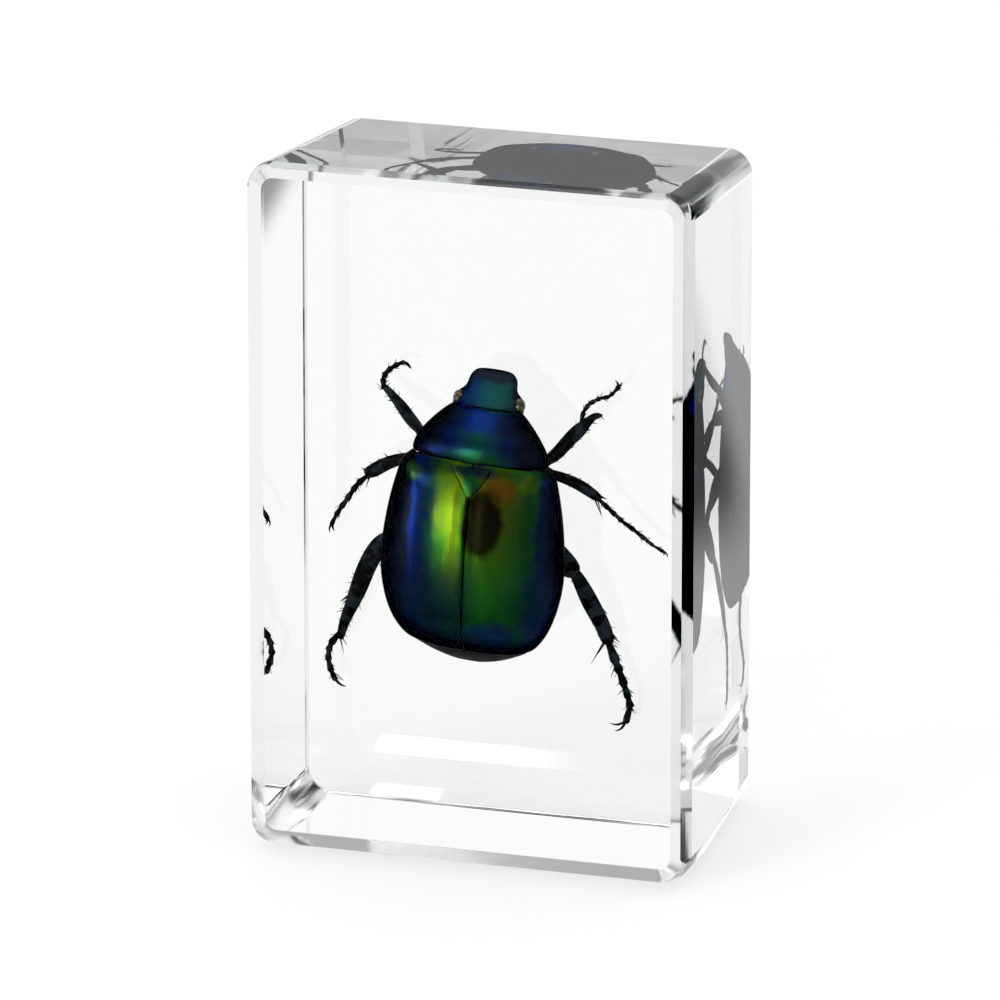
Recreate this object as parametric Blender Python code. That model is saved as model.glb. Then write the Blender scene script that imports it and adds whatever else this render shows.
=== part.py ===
"""Leaf chafer beetle cast in a small clear resin block.

Lengths in the tables are millimetres and become metres in one place, metres().
The block's own frame: X to the right, Y from the front face to the back, Z up.
The beetle's frame: X to its right, Y towards its head, Z out of its back.
"""
import math

import bmesh
import bpy
from mathutils import Matrix, Vector

MM = 0.001

# Resin block
CORNER_RADIUS = 1.6
CORNER_STEPS = 4
BASE_DRAFT = 0.055     # slope of the base, on which the block stands
PARTING = 10.5         # plane where the clear solid is parted in two
GAP = 0.3              # clearance between neighbouring solids

# The block's outline at each depth behind its front face: left, right, base, top,
# and how far its corners are cut in
OUTLINES = [
    (0.00, -13.02, 13.69, -20.80, 21.70, 0.80),
    (0.50, -13.76, 14.19, -21.50, 22.20, 0.35),
    (0.80, -14.20, 14.29, -21.92, 22.31, 0.15),
    (1.20, -14.19, 14.42, -21.94, 22.45, 0.05),
    (1.70, -14.18, 14.58, -21.96, 22.42, 0.00),
    (5.90, -14.08, 14.33, -22.15, 22.13, 0.00),
    (17.05, -13.80, 13.66, -21.54, 21.36, 0.00),
    (17.20, -13.65, 13.51, -21.39, 21.21, 0.15),
]

# Beetle in the block
BEETLE_X = -1.15
BEETLE_Z = -1.05
BEETLE_LEAN = math.radians(4.0)    # its head leans to the right
BODY_SIDES = 16
LIMB_SIDES = 6
SUTURE_DEPTH = 0.14

# Body stations: place along the body, half width, height above and depth below
# the widest level, and that level itself
ABDOMEN = [
    (-9.70, 0.90, 0.30, 0.35, -1.35),
    (-9.40, 2.05, 0.80, 0.75, -1.15),
    (-8.62, 3.75, 1.65, 1.40, -0.75),
    (-7.62, 4.75, 2.30, 2.10, -0.35),
    (-6.40, 5.40, 2.75, 2.65, -0.10),
    (-4.60, 5.88, 3.05, 3.00, 0.00),
    (-2.90, 6.02, 3.25, 3.10, 0.00),
    (-0.90, 5.88, 3.25, 3.20, 0.00),
    (1.00, 5.60, 3.05, 3.20, 0.00),
    (2.60, 5.22, 2.70, 3.00, 0.00),
    (3.40, 4.85, 2.40, 2.80, 0.00),
    (3.90, 4.10, 1.70, 2.50, 0.00),
]
PRONOTUM = [
    (3.30, 4.20, 1.90, 2.20, -0.15),
    (3.75, 4.50, 2.40, 2.60, -0.25),
    (4.65, 4.32, 2.55, 2.70, -0.40),
    (5.25, 4.02, 2.45, 2.60, -0.50),
    (6.05, 3.38, 2.05, 2.30, -0.75),
    (6.80, 2.55, 1.45, 1.90, -1.10),
    (7.10, 2.00, 1.00, 1.50, -1.25),
]
HEAD = [
    (6.35, 2.15, 1.30, 1.40, -1.55),
    (7.05, 2.35, 1.20, 1.40, -1.80),
    (7.65, 2.22, 1.05, 1.25, -2.20),
    (8.20, 1.75, 0.80, 1.00, -2.65),
    (8.60, 1.55, 0.60, 0.85, -3.10),
    (8.95, 1.30, 0.40, 0.60, -3.35),
    (9.18, 0.85, 0.22, 0.30, -3.45),
]
EYES = [(-1.95, 7.75, -1.95), (2.10, 7.65, -1.95)]
EYE_RADIUS = 0.45
SCUTELLUM_THICK = 0.8
SCUTELLUM_REAR = (2.10, 0.08, 2.93)     # place along the body, half width, top
SCUTELLUM_FRONT = (3.60, 0.95, 2.48)

# Each limb piece is a row of (x, y, z, radius) along its length
LEGS = {
    "front_left": {
        "femur": [(-2.2, 3.6, -1.9, 0.50), (-4.7, 4.7, -2.4, 0.42)],
        "tibia": [(-4.45, 4.8, -2.3, 0.34), (-5.6, 5.6, -3.1, 0.40), (-6.65, 6.3, -4.0, 0.30),
                  (-7.35, 6.65, -4.5, 0.22)],
        "tarsus": [(-7.5, 6.55, -4.5, 0.18), (-7.55, 7.25, -4.65, 0.17), (-7.35, 7.75, -4.8, 0.16),
                   (-6.9, 8.15, -4.9, 0.15), (-6.35, 8.45, -4.8, 0.13)],
        "claw": [(-6.4, 8.43, -4.8, 0.12), (-6.0, 8.4, -4.75, 0.09), (-5.75, 8.1, -4.7, 0.04)],
        "tooth": [(-6.6, 6.3, -4.0, 0.18), (-7.05, 5.95, -4.2, 0.05)],
        "end_tooth": [(-7.2, 6.7, -4.4, 0.18), (-7.7, 6.45, -4.6, 0.06)],
    },
    "front_right": {
        "femur": [(2.2, 3.4, -1.8, 0.55), (4.1, 4.15, -2.1, 0.50)],
        "tibia": [(4.1, 4.15, -2.2, 0.33), (4.85, 5.1, -2.5, 0.37), (5.45, 5.85, -2.9, 0.40),
                  (6.1, 6.6, -3.2, 0.33)],
        "tarsus": [(5.6, 6.4, -3.2, 0.15), (5.75, 7.15, -3.5, 0.14), (6.0, 7.7, -3.8, 0.13),
                   (6.35, 8.0, -4.3, 0.13), (6.9, 8.15, -4.5, 0.12), (7.4, 8.5, -4.5, 0.15),
                   (7.8, 9.0, -4.5, 0.14)],
        "claw": [(7.75, 8.95, -4.5, 0.10), (7.9, 9.3, -4.5, 0.08), (7.7, 9.5, -4.5, 0.04)],
        "tooth": [(5.9, 6.2, -3.2, 0.20), (6.5, 6.3, -3.2, 0.05)],
        "end_tooth": [(6.0, 6.5, -3.2, 0.28), (6.65, 7.2, -3.4, 0.17), (7.15, 7.3, -3.5, 0.06)],
    },
    "middle_left": {
        "femur": [(-3.0, 2.8, -1.8, 0.45), (-5.4, 2.6, -2.7, 0.36)],
        "tibia": [(-5.2, 2.65, -2.6, 0.33), (-6.35, 2.15, -3.3, 0.36), (-7.3, 1.5, -3.7, 0.36),
                  (-8.05, 0.95, -4.0, 0.28)],
        "tarsus": [(-8.1, 0.9, -4.0, 0.17), (-8.8, -0.1, -4.3, 0.18), (-9.5, -1.2, -4.55, 0.15),
                   (-10.1, -2.25, -4.7, 0.15), (-10.4, -2.9, -4.8, 0.10)],
        "claw": [(-10.35, -2.8, -4.8, 0.10), (-10.55, -3.3, -4.8, 0.04)],
        "tooth": [(-8.0, 1.1, -4.0, 0.15), (-8.35, 1.1, -4.0, 0.05)],
        "spur": [(-7.9, 0.8, -4.05, 0.09), (-8.15, 0.0, -4.3, 0.04)],
    },
    "middle_right": {
        "femur": [(2.6, 3.3, -1.8, 0.45), (4.4, 3.25, -2.1, 0.34)],
        "tibia": [(4.2, 3.25, -2.0, 0.30), (5.35, 3.0, -2.4, 0.33), (6.35, 2.5, -3.0, 0.34),
                  (7.4, 1.85, -3.7, 0.24)],
        "tarsus": [(7.3, 1.8, -3.7, 0.15), (8.05, 1.05, -4.0, 0.15), (8.8, 0.5, -4.2, 0.14),
                   (9.8, -0.2, -4.5, 0.14), (10.75, -0.8, -4.7, 0.13), (11.55, -1.15, -4.8, 0.10)],
        "claw": [(11.45, -1.1, -4.8, 0.10), (11.9, -1.5, -4.8, 0.04)],
        "tooth": [(7.3, 1.95, -3.7, 0.14), (7.8, 1.85, -3.8, 0.05)],
        "spur": [(7.0, 2.0, -3.5, 0.12), (7.3, 1.15, -3.9, 0.07), (7.5, 0.55, -4.1, 0.03)],
    },
    "hind_left": {
        "femur": [(-3.0, -0.9, -2.2, 0.70), (-5.2, -2.2, -2.7, 0.75), (-6.3, -3.1, -2.8, 0.60)],
        "tibia": [(-6.2, -2.9, -2.6, 0.50), (-7.5, -5.0, -3.3, 0.62), (-8.05, -6.4, -3.7, 0.58),
                  (-8.5, -7.5, -4.0, 0.46), (-8.9, -8.8, -4.3, 0.33), (-9.2, -10.2, -4.5, 0.27)],
        "tarsus": [(-9.3, -9.9, -4.5, 0.22), (-9.7, -10.9, -4.75, 0.20), (-9.95, -11.7, -4.85, 0.19),
                   (-9.8, -12.45, -4.9, 0.20), (-9.5, -13.15, -4.9, 0.14)],
        "claw": [(-9.55, -13.1, -4.9, 0.12), (-9.2, -13.5, -4.9, 0.08), (-8.7, -13.55, -4.9, 0.04)],
        "tooth": [(-8.6, -7.1, -3.9, 0.22), (-9.3, -7.8, -4.1, 0.05)],
        "spur": [(-9.25, -10.0, -4.5, 0.14), (-9.3, -11.1, -4.7, 0.04)],
    },
    "hind_right": {
        "femur": [(3.0, -0.8, -2.2, 0.70), (5.2, -2.3, -2.7, 0.66), (6.3, -3.2, -3.1, 0.45)],
        "tibia": [(6.2, -3.1, -3.0, 0.42), (7.05, -4.5, -3.6, 0.54), (7.55, -5.65, -3.9, 0.56),
                  (8.05, -6.9, -4.3, 0.48), (8.4, -7.9, -4.6, 0.38)],
        "tarsus": [(8.35, -7.7, -4.6, 0.30), (8.75, -8.9, -4.95, 0.26), (9.25, -9.6, -4.95, 0.24),
                   (9.65, -10.5, -4.8, 0.24), (10.1, -11.1, -4.55, 0.20), (10.2, -11.75, -4.45, 0.24),
                   (9.95, -12.7, -4.55, 0.17)],
        "claw": [(9.95, -12.6, -4.55, 0.10), (9.4, -13.1, -4.7, 0.07), (8.9, -13.05, -4.8, 0.04)],
        "low_claw": [(9.95, -12.5, -4.5, 0.12), (9.7, -13.35, -4.7, 0.07), (9.3, -13.5, -4.8, 0.04)],
        "tooth": [(8.4, -7.2, -4.4, 0.24), (9.2, -7.55, -4.5, 0.05)],
        "spur": [(8.1, -7.6, -4.5, 0.14), (7.75, -8.5, -4.6, 0.09), (7.4, -9.35, -4.7, 0.04)],
    },
}


def clear_scene():
    for old in list(bpy.data.objects):
        bpy.data.objects.remove(old)


def material(name, colour, roughness, transmission=0.0, metallic=0.0):
    mat = bpy.data.materials.new(name)
    mat.use_nodes = True
    shader = mat.node_tree.nodes["Principled BSDF"]
    shader.inputs["Base Color"].default_value = (*colour, 1.0)
    shader.inputs["Roughness"].default_value = roughness
    shader.inputs["Metallic"].default_value = metallic
    shader.inputs["Transmission Weight"].default_value = transmission
    shader.inputs["IOR"].default_value = 1.55
    return mat


def skin(bm, rings):
    """Join rows of points into one closed body, with a flat face at each end."""
    rows = [[bm.verts.new(p) for p in points] for points in rings]
    count = len(rows[0])
    for lower, upper in zip(rows, rows[1:]):
        for i in range(count):
            j = (i + 1) % count
            bm.faces.new((lower[i], lower[j], upper[j], upper[i]))
    bm.faces.new(reversed(rows[0]))
    bm.faces.new(rows[-1])


def metres(bm, matrix):
    """Place a body that was made in millimetres, with its faces pointing out."""
    bmesh.ops.transform(bm, matrix=Matrix.Scale(MM, 4) @ matrix, verts=bm.verts[:])
    bmesh.ops.recalc_face_normals(bm, faces=bm.faces[:])
    bmesh.ops.triangulate(bm, faces=bm.faces[:])


def to_object(name, bm, mat=None):
    mesh = bpy.data.meshes.new(name)
    bm.to_mesh(mesh)
    bm.free()
    if mat:
        mesh.materials.append(mat)
    obj = bpy.data.objects.new(name, mesh)
    bpy.context.scene.collection.objects.link(obj)
    return obj


# ---- the block ----

def outline_at(depth):
    """The row of measures at a depth, between the two nearest rows of the table."""
    for near, far in zip(OUTLINES, OUTLINES[1:]):
        if depth <= far[0]:
            part = (depth - near[0]) / (far[0] - near[0])
            return [a + part * (b - a) for a, b in zip(near, far)]
    return list(OUTLINES[-1])


def block_outline(row):
    """Rounded outline of the block in the plane of one row of measures."""
    depth, left, right, base, top, cut = row
    radius = CORNER_RADIUS - cut
    corners = [
        (right - radius, top - radius, 0.0),
        (left + radius, top - radius, 90.0),
        (left + radius, base + radius, 180.0),
        (right - radius, base + radius, 270.0),
    ]
    points = []
    for x, z, start in corners:
        for step in range(CORNER_STEPS + 1):
            turn = math.radians(start + 90.0 * step / CORNER_STEPS)
            points.append(Vector((x + radius * math.cos(turn), depth, z + radius * math.sin(turn))))
    return points


def block_rings(near, far):
    """The outlines from one depth to another."""
    inner = [row for row in OUTLINES if near < row[0] < far]
    return [block_outline(row) for row in [outline_at(near), *inner, outline_at(far)]]


def block_half(name, near, far, stand, pocket, mat):
    bm = bmesh.new()
    skin(bm, block_rings(near, far))
    metres(bm, stand)
    half = to_object(name, bm, mat)
    cut = half.modifiers.new("pocket", "BOOLEAN")
    cut.operation = "DIFFERENCE"
    cut.object = pocket
    return half


def standing():
    """Turn the block frame so that the base lies flat, with the origin below its middle."""
    turn = Matrix.Rotation(-math.atan(BASE_DRAFT), 4, "X")
    points = [turn @ p for ring in block_rings(0.0, OUTLINES[-1][0]) for p in ring]
    low = Vector([min(p[axis] for p in points) for axis in range(3)])
    high = Vector([max(p[axis] for p in points) for axis in range(3)])
    middle = (low + high) / 2
    return Matrix.Translation((-middle.x, -middle.y, -low.z)) @ turn


# ---- the beetle ----

def body_ring(station, grow, groove=0.0):
    """One cross section of the body: a dome above and a keel below the widest level."""
    y, half, above, below, level = station
    points = []
    for i in range(BODY_SIDES):
        turn = 2 * math.pi * i / BODY_SIDES
        rise = above if math.sin(turn) > 0 else below
        z = level + (rise + grow) * math.sin(turn)
        if i == BODY_SIDES // 4:
            z -= groove
        points.append(Vector(((half + grow) * math.cos(turn), y, z)))
    return points


def body_rings(stations, grow, groove=0.0):
    """The sections of a body piece, with its two ends pushed out by the growth."""
    rows = [list(station) for station in stations]
    rows[0][0] -= grow
    rows[-1][0] += grow
    return [body_ring(row, grow, groove) for row in rows]


def limb_rings(points, grow):
    """Rings across a limb piece, turned to the middle of the way in and out."""
    spots = [Vector(p[:3]) for p in points]
    ways = [(b - a).normalized() for a, b in zip(spots, spots[1:])]
    spots[0] = spots[0] - ways[0] * grow
    spots[-1] = spots[-1] + ways[-1] * grow
    ways = [ways[0], *[(a + b).normalized() for a, b in zip(ways, ways[1:])], ways[-1]]
    rings = []
    for spot, way, point in zip(spots, ways, points):
        side = way.cross(Vector((0, 0, 1))).normalized()
        up = side.cross(way)
        radius = point[3] + grow
        ring = []
        for i in range(LIMB_SIDES):
            turn = 2 * math.pi * (i + 0.5) / LIMB_SIDES
            ring.append(spot + radius * (math.cos(turn) * side + math.sin(turn) * up))
        rings.append(ring)
    return rings


def scutellum_rings(grow):
    """The small shield between the wing cases, a wedge that narrows to the rear."""
    rings = []
    for station, end in ((SCUTELLUM_REAR, -grow), (SCUTELLUM_FRONT, grow)):
        y = station[0] + end
        half = station[1] + grow
        top = station[2] + grow
        low = station[2] - SCUTELLUM_THICK - grow
        rings.append([Vector(p) for p in ((-half, y, low), (half, y, low), (half, y, top), (-half, y, top))])
    return rings


def piece(name, rings, matrix):
    bm = bmesh.new()
    skin(bm, rings)
    metres(bm, matrix)
    return to_object(name, bm)


def eye(name, centre, grow, matrix):
    bm = bmesh.new()
    bmesh.ops.create_icosphere(bm, subdivisions=1, radius=EYE_RADIUS + grow)
    bmesh.ops.translate(bm, verts=bm.verts[:], vec=centre)
    metres(bm, matrix)
    return to_object(name, bm)


def beetle_pieces(prefix, grow, matrix):
    """Every form of the beetle but its abdomen, each as a closed body."""
    pieces = [
        piece(prefix + "_pronotum", body_rings(PRONOTUM, grow), matrix),
        piece(prefix + "_head", body_rings(HEAD, grow), matrix),
        piece(prefix + "_scutellum", scutellum_rings(grow), matrix),
    ]
    for number, centre in enumerate(EYES):
        pieces.append(eye(f"{prefix}_eye_{number}", centre, grow, matrix))
    for leg, limbs in LEGS.items():
        for limb, points in limbs.items():
            pieces.append(piece(f"{prefix}_{leg}_{limb}", limb_rings(points, grow), matrix))
    return pieces


def whole_beetle(name, grow, matrix, mat=None):
    """The beetle as one closed body: the abdomen with every other form joined to it."""
    beetle = piece(name, body_rings(ABDOMEN, grow, SUTURE_DEPTH), matrix)
    if mat:
        beetle.data.materials.append(mat)
    for form in beetle_pieces(name, grow, matrix):
        join = beetle.modifiers.new(form.name, "BOOLEAN")
        join.operation = "UNION"
        join.object = form
        guide(form)
    return beetle


def guide(obj):
    obj.hide_render = True
    obj.display_type = "WIRE"


def main():
    clear_scene()
    resin = material("clear_resin", (0.98, 0.99, 0.98), 0.02, transmission=1.0)
    shell = material("beetle_shell", (0.02, 0.10, 0.06), 0.25, metallic=0.6)

    stand = standing()
    upright = Matrix.Rotation(math.radians(90.0), 4, "X")
    lean = Matrix.Rotation(-BEETLE_LEAN, 4, "Z")
    place = stand @ Matrix.Translation((BEETLE_X, PARTING, BEETLE_Z)) @ upright @ lean

    whole_beetle("beetle", 0.0, place, shell)
    pocket = whole_beetle("pocket_cutter", GAP, place)
    guide(pocket)
    block_half("resin_front", 0.0, PARTING - GAP / 2, stand, pocket, resin)
    block_half("resin_back", PARTING + GAP / 2, OUTLINES[-1][0], stand, pocket, resin)


main()
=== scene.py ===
import math
import random

import bmesh
import bpy
from mathutils import Matrix, Vector


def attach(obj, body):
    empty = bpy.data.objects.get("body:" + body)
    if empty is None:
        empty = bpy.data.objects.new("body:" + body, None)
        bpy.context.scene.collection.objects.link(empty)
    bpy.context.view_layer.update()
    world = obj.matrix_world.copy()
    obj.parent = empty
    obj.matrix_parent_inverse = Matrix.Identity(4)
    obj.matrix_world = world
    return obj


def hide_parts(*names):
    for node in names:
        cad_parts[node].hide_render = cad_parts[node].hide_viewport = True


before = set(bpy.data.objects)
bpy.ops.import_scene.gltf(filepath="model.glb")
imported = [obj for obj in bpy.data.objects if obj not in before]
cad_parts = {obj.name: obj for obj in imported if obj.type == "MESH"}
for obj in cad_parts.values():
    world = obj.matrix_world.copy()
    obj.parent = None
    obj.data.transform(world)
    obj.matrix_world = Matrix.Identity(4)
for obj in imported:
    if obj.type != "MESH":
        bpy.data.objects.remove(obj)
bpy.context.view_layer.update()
scene = bpy.context.scene
mm = 0.001


# Shared helpers

def newMaterial(name):
    material = bpy.data.materials.new(name)
    material.use_nodes = True
    nodes, links = material.node_tree.nodes, material.node_tree.links
    return material, nodes, links, nodes["Principled BSDF"]


def addPiece(name, bm, material):
    mesh = bpy.data.meshes.new(name)
    bm.to_mesh(mesh)
    bm.free()
    mesh.materials.append(material)
    piece = bpy.data.objects.new(name, mesh)
    scene.collection.objects.link(piece)
    return piece


def tube(bm, rings, sides):
    # a closed tube along Z whose rings lie one apart, ready to be given its shape
    verts = bmesh.ops.create_circle(bm, cap_ends=True, radius=1.0, segments=sides)["verts"]
    edges = list(dict.fromkeys(e for v in verts for e in v.link_edges))
    made = list(verts)
    for ring in range(rings - 1):
        grown = bmesh.ops.extrude_edge_only(bm, edges=edges)["geom"]
        verts = [g for g in grown if isinstance(g, bmesh.types.BMVert)]
        edges = [g for g in grown if isinstance(g, bmesh.types.BMEdge)]
        bmesh.ops.translate(bm, verts=verts, vec=(0, 0, 1))
        made += verts
    bmesh.ops.contextual_create(bm, geom=edges)
    return made


def ridge(value, middle, width):
    # 1 along its middle, falling smoothly to nothing on both sides
    return math.exp(-((value - middle) / width) ** 2)


def mound(x, y, middleX, middleY, radius):
    # 1 at its middle, falling smoothly to nothing
    return math.exp(-((x - middleX) ** 2 + (y - middleY) ** 2) / radius ** 2)


def addNoise(nodes, links, spot, scale, detail):
    noise = nodes.new("ShaderNodeTexNoise")
    noise.inputs["Scale"].default_value = scale
    noise.inputs["Detail"].default_value = detail
    links.new(spot, noise.inputs["Vector"])
    return noise


def addRamp(nodes, links, factor, stops):
    ramp = nodes.new("ShaderNodeValToRGB")
    ramp.color_ramp.interpolation = "EASE"
    elements = ramp.color_ramp.elements
    while len(elements) < len(stops):
        elements.new(0.5)
    for element, (position, colour) in zip(elements, stops):
        element.position = position
        element.color = (*colour, 1)
    links.new(factor, ramp.inputs["Fac"])
    return ramp.outputs["Color"]


def addBump(nodes, links, shader, height, strength, depth):
    # depth in mm, and negative where what is high in the pattern is a hollow
    bump = nodes.new("ShaderNodeBump")
    bump.inputs["Strength"].default_value = strength
    bump.inputs["Distance"].default_value = abs(depth) * mm
    bump.invert = depth < 0
    links.new(height, bump.inputs["Height"])
    links.new(bump.outputs["Normal"], shader.inputs["Normal"])


def addMix(nodes, links, factor, first, second):
    mix = nodes.new("ShaderNodeMix")
    mix.data_type = "RGBA"
    links.new(factor, mix.inputs["Factor"])
    links.new(first, mix.inputs["A"])
    if isinstance(second, tuple):
        mix.inputs["B"].default_value = (*second, 1)
    else:
        links.new(second, mix.inputs["B"])
    return mix.outputs["Result"]


def addRange(nodes, links, value, low, high, start=0.0, end=1.0, easing="SMOOTHSTEP"):
    span = nodes.new("ShaderNodeMapRange")
    span.interpolation_type = easing
    span.inputs["From Min"].default_value = low
    span.inputs["From Max"].default_value = high
    span.inputs["To Min"].default_value = start
    span.inputs["To Max"].default_value = end
    links.new(value, span.inputs["Value"])
    return span.outputs["Result"]


# Resin block: its own frame has X to the right, Y behind the front face and Z up, in mm

block = {
    # outline at each depth behind the front face: left, right, base, top, and what the corner radius loses
    "outlines": [
        (0.00, -13.02, 13.69, -20.80, 21.70, 0.80),
        (0.50, -13.76, 14.19, -21.50, 22.20, 0.35),
        (0.80, -14.20, 14.29, -21.92, 22.31, 0.15),
        (1.20, -14.19, 14.42, -21.94, 22.45, 0.05),
        (1.70, -14.18, 14.58, -21.96, 22.42, 0.00),
        (5.90, -14.08, 14.33, -22.15, 22.13, 0.00),
        (17.05, -13.80, 13.66, -21.54, 21.36, 0.00),
        (17.20, -13.65, 13.51, -21.39, 21.21, 0.15),
    ],
    "cornerRadius": 1.6,
    "cornerSegments": 12,
    "baseDraft": 0.055,     # slope of the base, on which it stands
    "wallArea": 8.0,        # faces larger than this are flat walls, in mm2
    # the edges keep a satin finish: how rough the rim, the corners and the strip right of the front are;
    # this roughness also sets how much darker their tint is painted, a painted shade
    "rimRoughness": 0.10,
    "cornerRoughness": 0.17,
    "stripRoughness": 0.06,
    "stripStart": 14.2,     # the strip lies further right than this
    "stripDepth": 1.7,      # and less deep than this
    "cornerTurn": 0.15,     # a corner's normal has more than this of both X and Z
    "wallTurn": 0.99,       # a flat wall's normal has at least this of one axis
}


def blockMesh():
    bm = bmesh.new()
    perCorner = block["cornerSegments"] + 1
    sides = 4 * perCorner
    for vert in tube(bm, len(block["outlines"]), sides):
        depth, left, right, base, top, cut = block["outlines"][round(vert.co.z)]
        step = round(math.atan2(vert.co.y, vert.co.x) / math.tau * sides) % sides
        corner, part = divmod(step, perCorner)
        turn = math.radians(90 * (corner + part / block["cornerSegments"]))
        radius = block["cornerRadius"] - cut
        middleX = right - radius if corner in (0, 3) else left + radius
        middleZ = top - radius if corner < 2 else base + radius
        vert.co = Vector((middleX + radius * math.cos(turn), depth, middleZ + radius * math.sin(turn)))
    bmesh.ops.recalc_face_normals(bm, faces=bm.faces[:])
    return bm


def standUp(bm):
    # the drafted base lies flat on the floor, with the origin below the block's middle
    turn = Matrix.Rotation(-math.atan(block["baseDraft"]), 4, "X")
    spots = [turn @ v.co for v in bm.verts]
    low = Vector([min(p[i] for p in spots) for i in range(3)])
    high = Vector([max(p[i] for p in spots) for i in range(3)])
    middle = (low + high) / 2
    return Matrix.Scale(mm, 4) @ Matrix.Translation((-middle.x, -middle.y, -low.z)) @ turn


def markEdges(bm):
    # each face's roughness, which the resin material reads both as roughness and as painted shade that
    # darkens the edge's tint
    layer = bm.faces.layers.float.new("satinAndShade")
    for face in bm.faces:
        middle = face.calc_center_median()
        face.normal_update()
        if middle.x > block["stripStart"] and middle.y < block["stripDepth"]:
            face[layer] = block["stripRoughness"]
        elif min(abs(face.normal.x), abs(face.normal.z)) > block["cornerTurn"]:
            face[layer] = block["cornerRoughness"]
        elif max(abs(value) for value in face.normal) < block["wallTurn"]:
            face[layer] = block["rimRoughness"]


resin = {
    "index": 1.55,
    "tint": (0.80, 0.82, 0.80, 1),
    "density": 24.0,        # per metre
    # painted shade: how much the tint of a rough edge is darkened, per unit of its roughness
    "paintedEdgeShade": 1.5,      # how much light a satin edge loses, per unit of its roughness
}


def resinMaterial():
    material, nodes, links, shader = newMaterial("clearResin")
    satinAndShade = nodes.new("ShaderNodeAttribute")
    satinAndShade.attribute_name = "satinAndShade"
    links.new(satinAndShade.outputs["Fac"], shader.inputs["Roughness"])
    # painted shade: the rough edges pass less light, in step with their roughness
    shade = addRange(nodes, links, satinAndShade.outputs["Fac"], 0, 1, 1.0, 1.0 - resin["paintedEdgeShade"], "LINEAR")
    links.new(shade, shader.inputs["Base Color"])
    shader.inputs["IOR"].default_value = resin["index"]
    shader.inputs["Transmission Weight"].default_value = 1.0
    haze = nodes.new("ShaderNodeVolumeAbsorption")
    haze.inputs["Color"].default_value = resin["tint"]
    haze.inputs["Density"].default_value = resin["density"]
    links.new(haze.outputs["Volume"], nodes["Material Output"].inputs["Volume"])
    return material


def makeBlock():
    bm = blockMesh()
    markEdges(bm)
    toScene = standUp(bm)
    for face in bm.faces:
        face.smooth = True
    for edge in bm.edges:
        if max(f.calc_area() for f in edge.link_faces) > block["wallArea"]:
            edge.smooth = False
    bmesh.ops.transform(bm, matrix=toScene, verts=bm.verts[:])
    piece = addPiece("resin_block", bm, resinMaterial())
    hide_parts("resin_front", "resin_back")
    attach(piece, "root")
    return toScene


blockToScene = makeBlock()
print("block made")


# Beetle: its own frame has X to its right, Y towards its head and Z out of its back, in mm

beetle = {
    "x": -1.15,             # the middle of its body in the block's frame
    "z": -1.05,
    "depth": 10.5,          # its widest level, behind the block's front face
    "lean": 4.0,            # degrees that its head leans to the right
    # along the body: place, half width, height above and below the widest level, that level
    "stations": [
        (-9.75, 0.60, 0.25, 0.30, -1.40),
        (-9.40, 2.05, 0.80, 0.75, -1.15),
        (-8.62, 3.75, 1.65, 1.40, -0.75),
        (-7.62, 4.75, 2.30, 2.10, -0.35),
        (-6.40, 5.40, 2.75, 2.65, -0.10),
        (-4.60, 5.88, 3.05, 3.00, 0.00),
        (-2.90, 6.02, 3.25, 3.10, 0.00),
        (-0.90, 5.88, 3.25, 3.20, 0.00),
        (1.00, 5.60, 3.05, 3.20, 0.00),
        (2.60, 5.22, 2.70, 3.00, 0.00),
        (3.40, 4.90, 2.45, 2.80, 0.00),
        (4.10, 4.10, 2.10, 2.50, 0.00),
    ],
}


def standBeetle():
    upright = Matrix.Rotation(math.radians(90), 4, "X")
    lean = Matrix.Rotation(-math.radians(beetle["lean"]), 4, "Z")
    middle = Matrix.Translation((beetle["x"], beetle["depth"], beetle["z"]))
    return blockToScene @ middle @ upright @ lean


def stationAt(rows, y):
    # the row at a place between two stations, on a smooth curve through them all
    i = 0
    while i < len(rows) - 2 and y > rows[i + 1][0]:
        i += 1
    before, near, far, after = rows[max(i - 1, 0)], rows[i], rows[i + 1], rows[min(i + 2, len(rows) - 1)]
    span = far[0] - near[0]
    s = (y - near[0]) / span
    values = []
    for k in range(1, len(near)):
        slopeNear = (far[k] - before[k]) / (far[0] - before[0])
        slopeFar = (after[k] - near[k]) / (after[0] - near[0])
        values.append(near[k] * (1 + 2 * s) * (1 - s) ** 2 + far[k] * s * s * (3 - 2 * s)
                      + span * s * (1 - s) * (slopeNear * (1 - s) - slopeFar * s))
    return values


def addShell(name, bm, material, levels):
    # makes a piece of the beetle and puts it in its place, smoothed by these levels of subdivision
    bmesh.ops.recalc_face_normals(bm, faces=bm.faces[:])
    bmesh.ops.transform(bm, matrix=beetleToScene, verts=bm.verts[:])
    for face in bm.faces:
        face.smooth = True
    piece = addPiece(name, bm, material)
    if levels:
        smooth = piece.modifiers.new("smooth", "SUBSURF")
        smooth.levels = levels
        smooth.render_levels = levels
    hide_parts("beetle")
    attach(piece, "root")


beetleToScene = standBeetle()


# Wing cases

wingCase = {
    "front": 4.0,
    "rearAtSuture": -8.75,
    "rearAtSide": -7.9,
    "rearBulge": 0.25,
    "tuck": 14.0,           # degrees that the side turns in under the widest level
    "square": 2.25,         # 2 is an ellipse, more is flatter on top with steeper sides
    "thickness": 0.25,
    "sutureGap": 0.02,
    "mounds": [(0.30, 3.75, 2.9, 0.9), (0.16, 3.2, -7.1, 0.9)],      # height, middle and reach
    "sutureRidge": (0.05, 0.16),            # height and reach
    "sutureGroove": (0.07, 0.42, 0.22),     # depth, distance from the suture and reach
    "rimRidge": (0.03, 0.96, 0.02),         # height, share of the way round to the side, and reach
    "ribs": (0.006, 1.15),                  # height and spacing
    "across": 30,
    "along": 56,
}


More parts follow.
